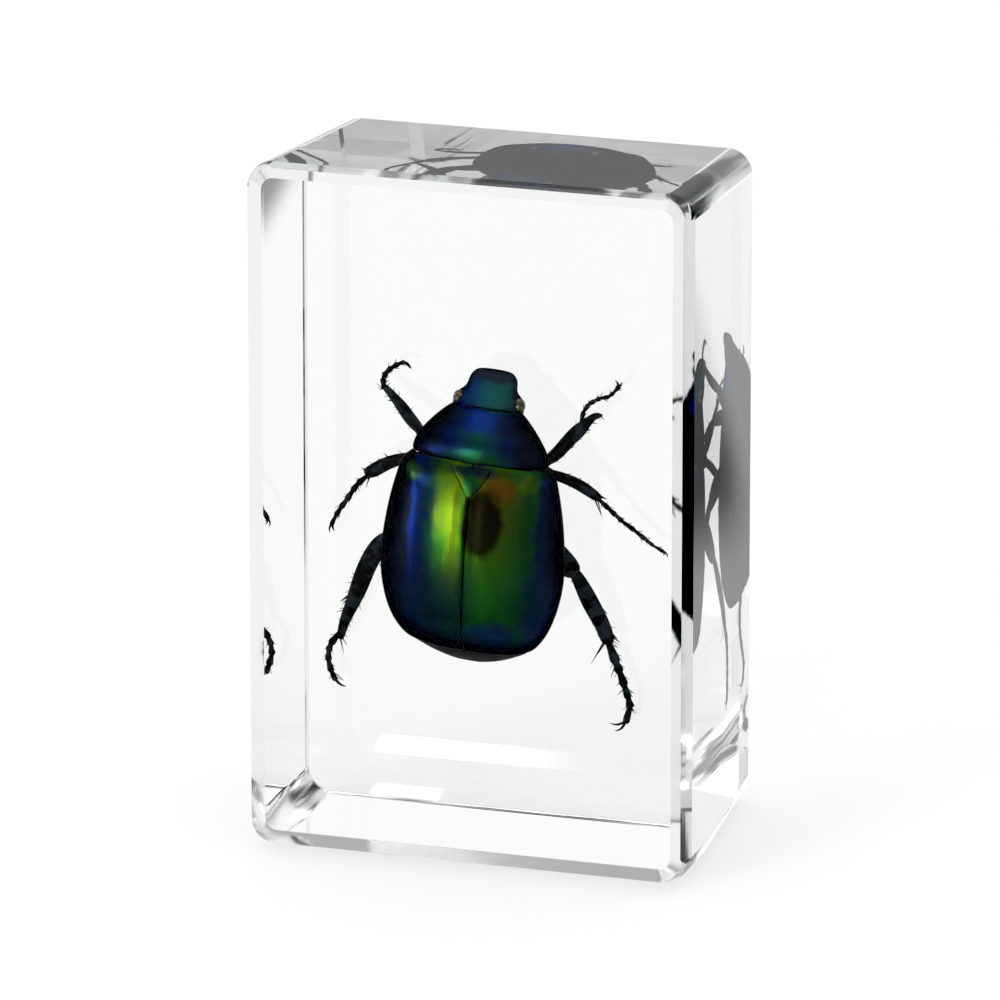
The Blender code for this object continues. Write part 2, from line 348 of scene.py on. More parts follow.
def wingCaseLift(u, x, y):
    height, reach = wingCase["sutureRidge"]
    depth, aside, grooveReach = wingCase["sutureGroove"]
    rimHeight, rimPlace, rimReach = wingCase["rimRidge"]
    ribHeight, spacing = wingCase["ribs"]
    lift = sum(rise * mound(x, y, *spot) for rise, *spot in wingCase["mounds"])
    lift += height * ridge(x, 0, reach) - depth * ridge(x, aside, grooveReach)
    lift += ribHeight * math.cos(math.tau * x / spacing) * math.sin(math.pi * u)
    return lift + rimHeight * ridge(u, rimPlace, rimReach)


def wingCasePoint(u, v):
    # u runs from the suture round to the side, v from front to rear
    rear = wingCase["rearAtSuture"] * (1 - u) + wingCase["rearAtSide"] * u
    rear -= wingCase["rearBulge"] * math.sin(math.pi * u)
    y = wingCase["front"] * (1 - v) + rear * v
    half, above, below, level = stationAt(beetle["stations"], y)
    turn = math.radians(90 - u * (90 + wingCase["tuck"]))
    power = 2 / wingCase["square"]
    x = half * math.copysign(abs(math.cos(turn)) ** power, math.cos(turn))
    rise = above if turn > 0 else below
    z = level + rise * math.copysign(abs(math.sin(turn)) ** power, math.sin(turn))
    out = Vector((x / half, 0, (z - level) / rise)).normalized()
    spot = Vector((x, y, z)) + wingCaseLift(u, x, y) * out
    spot.x = max(spot.x, wingCase["sutureGap"])
    return spot


def makeWingCase(name, hand, material):
    bm = bmesh.new()
    bmesh.ops.create_grid(bm, x_segments=wingCase["across"], y_segments=wingCase["along"], size=0.5)
    for vert in bm.verts:
        spot = wingCasePoint(vert.co.x + 0.5, vert.co.y + 0.5)
        vert.co = Vector((hand * spot.x, spot.y, spot.z))
    bmesh.ops.recalc_face_normals(bm, faces=bm.faces[:])
    if sum(f.normal.z for f in bm.faces) < 0:
        bmesh.ops.reverse_faces(bm, faces=bm.faces[:])
    bmesh.ops.solidify(bm, geom=bm.faces[:], thickness=wingCase["thickness"])
    addShell(name, bm, material, 1)


# Pronotum, head and scutellum

pronotum = {
    "stations": [
        (3.62, 4.05, 1.75, 2.00, -0.15),
        (3.70, 4.32, 2.15, 2.30, -0.20),
        (3.90, 4.48, 2.36, 2.50, -0.25),
        (4.65, 4.34, 2.55, 2.70, -0.40),
        (5.25, 4.02, 2.45, 2.60, -0.50),
        (6.05, 3.38, 2.05, 2.30, -0.75),
        (6.80, 2.62, 1.45, 1.90, -1.10),
        (7.18, 2.10, 1.00, 1.50, -1.25),
    ],
    "hindBulge": 0.35,
    "bulgeWidth": 1.9,
    "bulgeSides": 0.35,     # how far the hind edge turns forward beside it, of the bulge
    "bulgeFade": 2.2,       # how fast the bulge fades towards the front
    "bulgeLow": -0.2,       # how far down the sides it reaches, of the height below the widest level
    "mound": (0.06, 0, 5.0, 2.2),           # height, middle and reach
    "hindGroove": (0.05, 0.06, 0.03),       # depth, share of the way to the front, and reach
    "rings": 22,
    "sides": 40,
}

head = {
    "stations": [
        (6.35, 2.15, 1.30, 1.40, -1.55),
        (7.05, 2.35, 1.20, 1.40, -1.80),
        (7.65, 2.22, 1.05, 1.25, -2.20),
        (8.05, 1.72, 0.86, 1.05, -2.55),
        (8.60, 1.58, 0.60, 0.85, -3.10),
        (8.95, 1.38, 0.42, 0.60, -3.35),
        (9.20, 1.00, 0.22, 0.30, -3.50),
    ],
    "frontRim": (0.10, 0.93, 0.05),         # height, share of the way to the front, and reach
    "hollow": (0.10, 0, 8.6, 0.7),          # depth, middle and reach
    "rings": 18,
    "sides": 32,
}


def makeBodyForm(name, form, material, refine):
    rows = form["stations"]
    bm = bmesh.new()
    verts = tube(bm, form["rings"], form["sides"])
    for vert in verts:
        s = vert.co.z / (form["rings"] - 1)
        y = rows[0][0] + s * (rows[-1][0] - rows[0][0])
        half, above, below, level = stationAt(rows, y)
        cosine, sine = vert.co.x, vert.co.y
        rise = above if sine > 0 else below
        spot = Vector((half * cosine, y, level + rise * sine))
        vert.co = refine(spot, s, cosine, sine)
    addShell(name, bm, material, 1)


def pronotumShape(spot, s, cosine, sine):
    # the hind edge bulges back over the scutellum and turns forward beside it
    if sine > pronotum["bulgeLow"]:
        edge = max(0.0, 1 - s * pronotum["bulgeFade"])
        bulge = ridge(spot.x, 0, pronotum["bulgeWidth"]) - pronotum["bulgeSides"]
        spot.y -= pronotum["hindBulge"] * edge * bulge
    rise, *middle = pronotum["mound"]
    depth, groovePlace, reach = pronotum["hindGroove"]
    spot.z += rise * mound(spot.x, spot.y, *middle) - depth * ridge(s, groovePlace, reach) * max(sine, 0)
    return spot


def headShape(spot, s, cosine, sine):
    # the front rim turns up, with a shallow hollow behind it
    if sine > 0:
        height, rimPlace, reach = head["frontRim"]
        depth, *middle = head["hollow"]
        spot.z += height * ridge(s, rimPlace, reach) - depth * mound(spot.x, spot.y, *middle)
    return spot


scutellum = {
    "frontY": 3.75,
    "frontHalf": 1.25,      # half width
    "frontTop": 2.46,
    "rearY": 1.80,
    "rearHalf": 0.02,
    "rearTop": 3.04,
    "sideCurve": 1.6,       # 1 is straight, more is rounder
    "crown": 0.12,
    "crownShift": 0.1,      # moves its top forward
    "thickness": 0.5,
    "across": 12,
    "along": 10,
}


def makeScutellum(material):
    bm = bmesh.new()
    bmesh.ops.create_grid(bm, x_segments=scutellum["across"], y_segments=scutellum["along"], size=0.5)
    for vert in bm.verts:
        u, v = vert.co.x * 2, vert.co.y + 0.5
        half = scutellum["frontHalf"] * (1 - v ** scutellum["sideCurve"]) + scutellum["rearHalf"]
        y = scutellum["frontY"] * (1 - v) + scutellum["rearY"] * v
        top = scutellum["frontTop"] * (1 - v) + scutellum["rearTop"] * v
        along = math.sin(math.pi * min(v + scutellum["crownShift"], 1))
        top += scutellum["crown"] * (1 - u * u) * along
        vert.co = Vector((u * half, y, top))
    bmesh.ops.recalc_face_normals(bm, faces=bm.faces[:])
    if sum(f.normal.z for f in bm.faces) < 0:
        bmesh.ops.reverse_faces(bm, faces=bm.faces[:])
    bmesh.ops.solidify(bm, geom=bm.faces[:], thickness=scutellum["thickness"])
    addShell("scutellum", bm, material, 1)


eyes = {
    "places": [(-1.97, 7.34, -1.72), (2.07, 7.40, -1.72)],
    "size": (0.35, 0.50, 0.45),
}


def makeEyes(material):
    bm = bmesh.new()
    for spot in eyes["places"]:
        ball = bmesh.ops.create_uvsphere(bm, u_segments=20, v_segments=12, radius=1.0)["verts"]
        bmesh.ops.scale(bm, verts=ball, vec=eyes["size"])
        bmesh.ops.translate(bm, verts=ball, vec=spot)
    addShell("eyes", bm, material, 0)


# Underside: the thorax and the overlapping plates of the abdomen

underside = {
    "rings": 60,
    "sides": 36,
    "plates": [-8.6, -7.3, -6.1, -4.9, -3.7],      # hind edges of the abdomen's plates
    "plateLength": 1.1,
    "plateStep": 0.10,
    "width": 0.95,          # of the body's, to lie inside the wing cases
    "topDrop": 0.35,
    "chestStart": 2.6,      # from here forward it narrows
    "chestTaper": 0.22,
}


def undersideShape(spot, s, cosine, sine):
    y, length = spot.y, underside["plateLength"]
    spot.x *= underside["width"]
    if sine > 0:
        spot.z -= underside["topDrop"] * sine
    if y > underside["chestStart"]:
        spot.x *= 1 - underside["chestTaper"] * (y - underside["chestStart"])
    for edge in underside["plates"]:
        if edge < y < edge + length:
            grow = underside["plateStep"] * (1 - (y - edge) / length)
            spot.x += grow * cosine
            spot.z += grow * sine
    return spot


def makeUnderside(material):
    form = {"stations": beetle["stations"], "rings": underside["rings"], "sides": underside["sides"]}
    makeBodyForm("underside", form, material, undersideShape)


# Legs: a limb is a row of (x, y, z, half width) along its middle, a spine a foot, a tip and a radius

legs = {
    "front_left": {
        "femur": [(-2.0, 3.5, -1.8, 0.50), (-3.2, 4.1, -2.1, 0.56), (-4.7, 4.75, -2.4, 0.36)],
        "tibia": [(-4.35, 4.62, -2.3, 0.27), (-4.9, 4.93, -2.75, 0.37), (-5.49, 5.28, -3.3, 0.39),
                  (-6.02, 5.72, -3.8, 0.36), (-6.5, 6.06, -4.1, 0.29), (-7.06, 6.49, -4.4, 0.23),
                  (-7.42, 6.74, -4.5, 0.19)],
        "tarsus": [(-7.45, 6.65, -4.5, 0.19), (-7.54, 7.18, -4.6, 0.18), (-7.42, 7.58, -4.65, 0.18),
                   (-7.09, 7.96, -4.7, 0.17), (-6.67, 8.27, -4.8, 0.15), (-6.28, 8.45, -4.9, 0.13)],
        "claws": [[(-6.35, 8.45, -4.9, 0.10), (-5.98, 8.42, -4.8, 0.08), (-5.74, 8.1, -4.7, 0.02)],
                  [(-6.38, 8.42, -4.9, 0.09), (-6.06, 8.28, -5.05, 0.06), (-5.9, 8.05, -5.05, 0.02)]],
        "spines": [((-6.72, 6.02, -4.1), (-7.07, 5.90, -4.2), 0.10),
                   ((-7.05, 6.38, -4.35), (-7.33, 6.30, -4.4), 0.10),
                   ((-7.3, 6.66, -4.5), (-7.74, 6.46, -4.6), 0.12),
                   ((-7.35, 6.75, -4.5), (-7.02, 7.02, -4.6), 0.05)],
    },
    "front_right": {
        "femur": [(2.0, 3.3, -1.7, 0.50), (3.1, 3.75, -2.0, 0.56), (4.25, 4.2, -2.2, 0.36)],
        "tibia": [(4.0, 4.0, -2.15, 0.30), (4.6, 4.56, -2.4, 0.37), (4.97, 5.12, -2.6, 0.38),
                  (5.4, 5.72, -2.8, 0.39), (5.78, 6.15, -3.0, 0.42), (6.15, 6.6, -3.15, 0.30),
                  (6.5, 7.05, -3.2, 0.22), (6.85, 7.33, -3.25, 0.19), (7.2, 7.34, -3.3, 0.08)],
        "tarsus": [(5.83, 6.5, -3.2, 0.13), (5.93, 7.34, -3.4, 0.14), (6.16, 7.8, -3.6, 0.14),
                   (6.48, 8.06, -3.9, 0.14), (6.82, 8.26, -4.1, 0.13), (7.31, 8.4, -4.25, 0.13),
                   (7.62, 8.7, -4.35, 0.12), (7.92, 9.15, -4.5, 0.14)],
        "claws": [[(7.88, 9.1, -4.5, 0.09), (7.86, 9.36, -4.5, 0.07), (7.62, 9.52, -4.5, 0.02)],
                  [(7.92, 9.1, -4.5, 0.09), (8.04, 9.28, -4.55, 0.06), (8.1, 9.44, -4.6, 0.02)]],
        "spines": [((6.0, 6.15, -3.1), (6.52, 6.34, -3.1), 0.14),
                   ((6.3, 6.72, -3.15), (6.66, 6.88, -3.2), 0.11),
                   ((6.78, 8.2, -4.1), (6.66, 8.44, -4.1), 0.04)],
    },
    "middle_left": {
        "femur": [(-2.8, 2.9, -1.7, 0.45), (-4.0, 2.85, -2.2, 0.50), (-5.3, 2.62, -2.75, 0.34)],
        "tibia": [(-4.95, 2.74, -2.7, 0.34), (-5.77, 2.44, -3.0, 0.34), (-6.45, 2.12, -3.2, 0.37),
                  (-7.13, 1.65, -3.4, 0.40), (-7.6, 1.27, -3.6, 0.40), (-8.1, 0.95, -3.85, 0.30)],
        "tarsus": [(-8.05, 0.8, -3.95, 0.17), (-8.62, 0.2, -4.1, 0.19), (-8.98, -0.35, -4.25, 0.18),
                   (-9.36, -1.04, -4.4, 0.18), (-9.74, -1.65, -4.5, 0.17), (-10.07, -2.26, -4.65, 0.16),
                   (-10.37, -2.98, -4.8, 0.13)],
        "claws": [[(-10.33, -2.9, -4.8, 0.08), (-10.53, -3.2, -4.8, 0.06), (-10.44, -3.52, -4.8, 0.02)],
                  [(-10.33, -2.9, -4.8, 0.08), (-10.3, -3.25, -4.95, 0.05), (-10.15, -3.4, -5.0, 0.02)]],
        "spines": [((-7.0, 1.95, -3.4), (-7.3, 2.12, -3.45), 0.08),
                   ((-7.95, 1.2, -3.8), (-8.42, 1.2, -3.9), 0.12),
                   ((-7.85, 0.85, -3.85), (-8.1, 0.0, -4.1), 0.07),
                   ((-8.1, 0.8, -3.9), (-8.5, 0.12, -4.2), 0.05),
                   ((-6.6, 2.4, -3.2), (-6.95, 2.6, -3.3), 0.05)],
    },
    "middle_right": {
        "femur": [(2.4, 3.3, -1.7, 0.45), (3.4, 3.35, -1.95, 0.48), (4.5, 3.25, -2.1, 0.32)],
        "tibia": [(4.1, 3.33, -1.95, 0.27), (4.98, 3.1, -2.3, 0.31), (5.73, 2.88, -2.6, 0.34),
                  (6.42, 2.5, -3.0, 0.35), (6.9, 2.15, -3.3, 0.32), (7.38, 1.82, -3.6, 0.25)],
        "tarsus": [(7.3, 1.78, -3.65, 0.15), (7.91, 1.26, -3.85, 0.16), (8.38, 0.87, -4.0, 0.16),
                   (8.83, 0.5, -4.15, 0.15), (9.61, -0.01, -4.4, 0.15), (10.34, -0.52, -4.6, 0.14),
                   (10.87, -0.88, -4.7, 0.11), (11.55, -1.19, -4.8, 0.11)],
        "claws": [[(11.5, -1.16, -4.8, 0.08), (11.78, -1.24, -4.8, 0.06), (11.88, -1.52, -4.8, 0.02)],
                  [(11.48, -1.16, -4.8, 0.08), (11.62, -1.32, -4.95, 0.05), (11.55, -1.52, -5.0, 0.02)]],
        "spines": [((6.35, 2.65, -3.0), (6.74, 2.86, -3.1), 0.08),
                   ((7.3, 2.0, -3.6), (7.84, 1.86, -3.7), 0.12),
                   ((7.0, 1.95, -3.4), (7.56, 0.62, -3.85), 0.07),
                   ((7.25, 1.7, -3.6), (7.5, 0.74, -3.9), 0.05)],
    },
    "hind_left": {
        "femur": [(-2.8, -0.8, -2.1, 0.70), (-4.4, -1.7, -2.6, 0.85), (-5.5, -2.35, -2.75, 0.75),
                  (-6.35, -3.1, -2.8, 0.50)],
        "tibia": [(-6.2, -2.7, -2.5, 0.40), (-6.75, -3.4, -2.8, 0.50), (-7.1, -4.05, -3.0, 0.54),
                  (-7.6, -5.11, -3.4, 0.54), (-7.94, -6.15, -3.7, 0.53), (-8.2, -6.95, -3.9, 0.49),
                  (-8.51, -7.86, -4.1, 0.40), (-8.9, -8.83, -4.3, 0.33), (-9.13, -9.69, -4.4, 0.27),
                  (-9.22, -10.35, -4.5, 0.22)],
        "tarsus": [(-9.3, -9.95, -4.55, 0.20), (-9.84, -10.79, -4.65, 0.21), (-9.98, -11.3, -4.7, 0.20),
                   (-9.97, -11.95, -4.75, 0.20), (-9.75, -12.65, -4.8, 0.20), (-9.45, -13.22, -4.88, 0.17)],
        "claws": [[(-9.48, -13.15, -4.85, 0.11), (-9.12, -13.54, -4.9, 0.08), (-8.67, -13.55, -4.9, 0.02)],
                  [(-9.5, -12.75, -4.8, 0.03), (-9.2, -12.95, -4.85, 0.03), (-8.84, -13.25, -4.9, 0.01)]],
        "spines": [((-8.5, -7.1, -3.9), (-9.32, -7.8, -4.0), 0.16),
                   ((-8.62, -7.4, -4.0), (-9.2, -8.0, -4.1), 0.09),
                   ((-8.25, -7.4, -4.0), (-7.94, -7.86, -4.1), 0.10),
                   ((-9.2, -10.1, -4.5), (-8.8, -10.72, -4.6), 0.06),
                   ((-9.25, -10.2, -4.5), (-8.98, -11.3, -4.7), 0.07),
                   ((-8.95, -8.3, -4.2), (-9.6, -8.62, -4.3), 0.05),
                   ((-8.1, -6.4, -3.7), (-8.58, -5.66, -3.8), 0.04),
                   ((-8.05, -6.2, -3.7), (-8.4, -5.6, -3.8), 0.04),
                   ((-8.7, -8.7, -4.3), (-8.45, -9.16, -4.4), 0.05)],
    },
    "hind_right": {
        "femur": [(2.8, -0.8, -2.1, 0.70), (4.2, -1.6, -2.45, 0.85), (5.3, -2.4, -2.6, 0.80),
                  (6.25, -3.15, -3.0, 0.52)],
        "tibia": [(6.1, -2.95, -2.95, 0.34), (6.65, -4.0, -3.5, 0.45), (7.05, -4.83, -3.8, 0.52),
                  (7.44, -5.57, -4.1, 0.52), (7.85, -6.25, -4.3, 0.49), (8.2, -6.98, -4.5, 0.46),
                  (8.45, -7.7, -4.6, 0.40)],
        "tarsus": [(8.45, -7.7, -4.65, 0.30), (8.95, -8.95, -4.98, 0.29), (9.25, -9.55, -4.98, 0.26),
                   (9.65, -10.35, -4.8, 0.25), (10.01, -11.1, -4.6, 0.22), (10.2, -11.65, -4.5, 0.25),
                   (9.98, -12.75, -4.6, 0.19)],
        "claws": [[(9.99, -12.68, -4.6, 0.09), (9.4, -13.12, -4.7, 0.07), (8.88, -13.02, -4.8, 0.02)],
                  [(9.98, -12.7, -4.58, 0.09), (9.72, -13.33, -4.7, 0.07), (9.24, -13.5, -4.8, 0.02)]],
        "spines": [((7.8, -5.4, -4.15), (8.36, -5.77, -4.3), 0.09),
                   ((7.95, -5.7, -4.25), (8.3, -6.1, -4.35), 0.07),
                   ((8.3, -6.8, -4.5), (9.04, -7.35, -4.6), 0.13),
                   ((8.5, -7.1, -4.55), (9.2, -7.58, -4.6), 0.13),
                   ((8.2, -7.6, -4.6), (7.38, -9.36, -4.75), 0.08),
                   ((8.3, -7.7, -4.6), (7.72, -8.7, -4.7), 0.05),
                   ((8.9, -9.4, -4.95), (8.72, -10.05, -4.95), 0.05),
                   ((9.4, -10.15, -4.85), (9.15, -10.5, -4.85), 0.05),
                   ((9.6, -10.7, -4.75), (9.24, -11.1, -4.7), 0.05),
                   ((9.1, -9.3, -4.95), (9.6, -9.75, -4.95), 0.04),
                   ((7.4, -4.9, -3.9), (7.8, -5.15, -4.0), 0.05)],
    },
}

limb = {
    "sides": 12,
    "swell": 1.18,          # makes up for what the smoothing takes off
    "femurFlat": 0.75,      # thickness over width
    "tibiaFlat": 0.60,
    "tarsusFlat": 0.85,
    "tipReach": 0.5,        # how far a limb runs past its end rows, in its half widths
    # along one joint of a foot: share of its length and of its half width
    "jointRows": [(-0.05, 0.60), (0.12, 0.72), (0.45, 0.80), (0.80, 1.08), (0.95, 1.05), (1.04, 0.70)],
    "spineSides": 6,
    "spineTip": 0.012,
}

bristles = {
    "perMm": 3.0,
    "rootDepth": 0.6,       # where they start, in the limb's half widths from its middle
    "length": (0.10, 0.30),
    "baseLength": 0.7,      # what the limb's half width adds to their length
    "slant": (0.6, 1.6),    # towards the foot
    "spread": 0.5,          # up or down
    "radius": 0.035,
}


def addLimb(bm, rows, flat):
    verts = tube(bm, len(rows), limb["sides"])
    spots = [Vector(row[:3]) for row in rows]
    # its ends reach a little further, since the smoothing draws them in
    spots[0] += limb["tipReach"] * rows[0][3] * (spots[0] - spots[1]).normalized()
    spots[-1] += limb["tipReach"] * rows[-1][3] * (spots[-1] - spots[-2]).normalized()
    for vert in verts:
        i = round(vert.co.z)
        way = (spots[min(i + 1, len(rows) - 1)] - spots[max(i - 1, 0)]).normalized()
        side = way.cross(Vector((0, 0, 1))).normalized()
        up = side.cross(way)
        reach = limb["swell"] * rows[i][3]
        vert.co = spots[i] + reach * (vert.co.x * side + flat * vert.co.y * up)


def addJoint(bm, near, far):
    # one joint of a foot, narrow where it starts and flared where the next one sits in it
    start, end = Vector(near[:3]), Vector(far[:3])
    rows = []
    for part, swell in limb["jointRows"]:
        spot = start.lerp(end, part)
        rows.append((*spot, swell * (near[3] * (1 - part) + far[3] * part)))
    addLimb(bm, rows, limb["tarsusFlat"])


def addSpine(bm, foot, tip, radius):
    foot, tip = Vector(foot), Vector(tip)
    turn = (tip - foot).to_track_quat("Z", "Y").to_matrix().to_4x4()
    bmesh.ops.create_cone(bm, cap_ends=True, segments=limb["spineSides"], radius1=radius,
                          radius2=limb["spineTip"], depth=(tip - foot).length,
                          matrix=Matrix.Translation((foot + tip) / 2) @ turn)


def makeLeg(name, leg, material):
    bm = bmesh.new()
    addLimb(bm, leg["femur"], limb["femurFlat"])
    addLimb(bm, leg["tibia"], limb["tibiaFlat"])
    for near, far in zip(leg["tarsus"], leg["tarsus"][1:]):
        addJoint(bm, near, far)
    for claw in leg["claws"]:
        addLimb(bm, claw, 1.0)
    addShell("leg_" + name, bm, material, 2)


def addBristles(bm, rows, chance):
    # short bristles that slant towards the foot
    spread = bristles["spread"]
    spots = [Vector(row[:3]) for row in rows]
    for i in range(len(spots) - 1):
        way = (spots[i + 1] - spots[i]).normalized()
        side = way.cross(Vector((0, 0, 1))).normalized()
        for k in range(round(bristles["perMm"] * (spots[i + 1] - spots[i]).length)):
            part = chance.random()
            root = spots[i].lerp(spots[i + 1], part)
            out = side * chance.choice((-1, 1)) + Vector((0, 0, chance.uniform(-spread, spread)))
            out.normalize()
            foot = root + bristles["rootDepth"] * rows[i][3] * out
            length = rows[i][3] * bristles["baseLength"] + chance.uniform(*bristles["length"])
            slant = (out + chance.uniform(*bristles["slant"]) * way).normalized()
            addSpine(bm, foot, foot + length * slant, bristles["radius"])


def makeSpines(material):
    chance = random.Random(5)
    bm = bmesh.new()
    for leg in legs.values():
        for foot, tip, radius in leg["spines"]:
            addSpine(bm, foot, tip, radius)
        for part in ("tibia", "tarsus"):
            addBristles(bm, leg[part], chance)
    addShell("spines", bm, material, 0)


# Beetle materials: all read the beetle's own frame, in mm, from Object coordinates

def beetleSpot(nodes, links):
    where = nodes.new("ShaderNodeTexCoord")
    toBeetle = nodes.new("ShaderNodeMapping")
    toBeetle.vector_type = "TEXTURE"
    toBeetle.inputs["Location"].default_value = beetleToScene.to_translation()
    toBeetle.inputs["Rotation"].default_value = beetleToScene.to_euler()
    toBeetle.inputs["Scale"].default_value = (mm, mm, mm)
    links.new(where.outputs["Object"], toBeetle.inputs["Vector"])
    return toBeetle.outputs["Vector"]


def wanderingAxes(nodes, links, spot, wander):
    # the spot, moved about a little so that no colour has a ruled edge, and its X, Y and Z
    cloud = addNoise(nodes, links, spot, 0.7, 3)
    push = nodes.new("ShaderNodeVectorMath")
    push.operation = "MULTIPLY_ADD"
    push.inputs[1].default_value = (wander, wander, wander)
    push.inputs[2].default_value = (-wander / 2, -wander / 2, -wander / 2)
    links.new(cloud.outputs["Color"], push.inputs[0])
    moved = nodes.new("ShaderNodeVectorMath")
    links.new(spot, moved.inputs[0])
    links.new(push.outputs["Vector"], moved.inputs[1])
    axes = nodes.new("ShaderNodeSeparateXYZ")
    links.new(moved.outputs["Vector"], axes.inputs["Vector"])
    return moved.outputs["Vector"], axes.outputs


def addPatch(nodes, links, spot, middle, reach, core, strength):
    # a soft round patch seen from above the beetle: its strength in the middle, nothing past its reach
    shift = nodes.new("ShaderNodeMapping")
    shift.vector_type = "TEXTURE"
    shift.inputs["Location"].default_value = (*middle, 0)
    shift.inputs["Scale"].default_value = (*reach, 1000)
    links.new(spot, shift.inputs["Vector"])
    length = nodes.new("ShaderNodeVectorMath")
    length.operation = "LENGTH"
    links.new(shift.outputs["Vector"], length.inputs[0])
    return addRange(nodes, links, length.outputs["Value"], core, 1.0, strength, 0.0)


shell = {
    "halfWidth": 6.1,       # of the colour scale across the beetle
    "wander": 1.0,
    # place across, from 0 at its left side to 1 at its right, and colour; the near-black ends are painted
    # shade on the sides, and the yellow-green near 0.43 is partly a painted highlight under the left lamp's
    # real one
    "frontHalf": [
        (0.00, (0.003, 0.004, 0.006)), (0.16, (0.003, 0.004, 0.008)), (0.20, (0.003, 0.010, 0.065)),
        (0.25, (0.003, 0.010, 0.040)), (0.30, (0.004, 0.026, 0.018)), (0.36, (0.014, 0.075, 0.006)),
        (0.43, (0.056, 0.100, 0.002)), (0.49, (0.010, 0.055, 0.003)), (0.56, (0.022, 0.060, 0.003)),
        (0.68, (0.022, 0.058, 0.003)), (0.76, (0.012, 0.055, 0.006)), (0.83, (0.007, 0.055, 0.018)),
        (0.89, (0.004, 0.012, 0.040)), (0.95, (0.004, 0.007, 0.012)), (1.00, (0.004, 0.006, 0.008)),
    ],
    "rearHalf": [
        (0.00, (0.004, 0.006, 0.008)), (0.14, (0.004, 0.006, 0.014)), (0.22, (0.005, 0.012, 0.045)),
        (0.32, (0.004, 0.016, 0.028)), (0.42, (0.004, 0.024, 0.022)), (0.50, (0.004, 0.026, 0.018)),
        (0.56, (0.006, 0.060, 0.010)), (0.62, (0.006, 0.075, 0.006)), (0.70, (0.005, 0.050, 0.008)),
        (0.78, (0.004, 0.040, 0.016)), (0.85, (0.005, 0.020, 0.045)), (0.93, (0.006, 0.013, 0.040)),
        (1.00, (0.004, 0.006, 0.010)),
    ],
    "rearToFront": (-5.5, -1.0),            # where along the beetle the front half's colours take over
    "tail": (0.003, 0.006, 0.016),
    "tailFrom": (-6.6, -8.4),
    # painted shade: the sides grow near-black lower down, where they turn away from the light
    "paintedSideShade": (0.003, 0.004, 0.006),
    "paintedSideShadeFrom": (0.9, 0.1),                  # heights
    # patches on the wing cases: middle, reach, share of it at full strength, that strength and colour
    "patches": [
        # the next three patches are a painted reflection: a dark brown reflection right of the suture, with
        # an olive and an orange fringe
        ((1.5, 1.2), (2.5, 3.0), 0.35, 0.70, (0.034, 0.042, 0.002)),
        ((1.9, 2.6), (1.6, 1.1), 0.35, 0.85, (0.065, 0.030, 0.002)),
        ((0.95, 0.25), (1.65, 2.75), 0.62, 0.97, (0.0025, 0.0018, 0.0006)),
        # painted highlight: this patch widens and yellows the left lamp's highlight on the left wing case
        ((-1.5, 0.9), (1.2, 2.3), 0.45, 0.50, (0.080, 0.110, 0.003)),
        ((-1.3, 3.0), (1.3, 0.9), 0.35, 0.60, (0.050, 0.080, 0.003)),
        ((3.7, 3.0), (0.9, 0.8), 0.35, 0.80, (0.040, 0.075, 0.004)),
        ((-3.9, 2.9), (0.8, 0.7), 0.35, 0.80, (0.020, 0.060, 0.015)),
        ((1.8, -7.2), (2.2, 1.3), 0.35, 0.80, (0.004, 0.012, 0.080)),
        # painted shade: a dark band on the wing cases just under the pronotum's hind edge
        ((0.0, 3.45), (2.2, 0.5), 0.35, 0.90, (0.003, 0.006, 0.018)),
        ((0.1, 2.7), (0.8, 0.9), 0.35, 1.00, (0.004, 0.035, 0.010)),
    ],
}


def shellMaterial():
    material, nodes, links, shader = newMaterial("iridescentShell")
    spot = beetleSpot(nodes, links)
    moved, axes = wanderingAxes(nodes, links, spot, shell["wander"])
    across = addRange(nodes, links, axes["X"], -shell["halfWidth"], shell["halfWidth"], easing="LINEAR")
    front = addRamp(nodes, links, across, shell["frontHalf"])
    rear = addRamp(nodes, links, across, shell["rearHalf"])
    colour = addMix(nodes, links, addRange(nodes, links, axes["Y"], *shell["rearToFront"]), rear, front)
    for middle, reach, core, strength, tone in shell["patches"]:
        patch = addPatch(nodes, links, moved, middle, reach, core, strength)
        colour = addMix(nodes, links, patch, colour, tone)
    # the tail darkens towards the rear, and painted shade darkens the lower sides
    for part, axis in (("tail", "Y"), ("paintedSideShade", "Z")):
        start = addRange(nodes, links, axes[axis], *shell[part + "From"])
        colour = addMix(nodes, links, start, colour, shell[part])
    finishShell(nodes, links, shader, spot, colour)
    return material


lustre = {
    "grainScale": 9.0,
    "grainShade": (0.75, 1.25),             # what the grain multiplies the colour by
    "grainMix": 0.5,                        # how much of that shows
    "grainRoughness": (0.28, 0.40),
    "pitScale": 5.0,
    "pitReach": 0.35,
    "pitBump": (0.12, 0.03),                # strength and depth
    "edgeTint": (0.15, 0.18, 0.25, 1),      # how little the shell shines where it turns away
}


def finishShell(nodes, links, shader, spot, colour):
    # fine punctures and a grainy lustre over the whole shell
    grain = addNoise(nodes, links, spot, lustre["grainScale"], 4).outputs["Fac"]
    shade = nodes.new("ShaderNodeMix")
    shade.data_type = "RGBA"
    shade.blend_type = "MULTIPLY"
    shade.inputs["Factor"].default_value = lustre["grainMix"]
    links.new(colour, shade.inputs["A"])
    links.new(addRange(nodes, links, grain, 0.3, 0.7, *lustre["grainShade"]), shade.inputs["B"])
    links.new(shade.outputs["Result"], shader.inputs["Base Color"])
    pits = nodes.new("ShaderNodeTexVoronoi")
    pits.inputs["Scale"].default_value = lustre["pitScale"]
    links.new(spot, pits.inputs["Vector"])
    dents = addRange(nodes, links, pits.outputs["Distance"], 0.0, lustre["pitReach"])
    addBump(nodes, links, shader, dents, *lustre["pitBump"])
    links.new(addRange(nodes, links, grain, 0.3, 0.7, *lustre["grainRoughness"]), shader.inputs["Roughness"])
    shader.inputs["Metallic"].default_value = 1.0
    shader.inputs["Specular Tint"].default_value = lustre["edgeTint"]


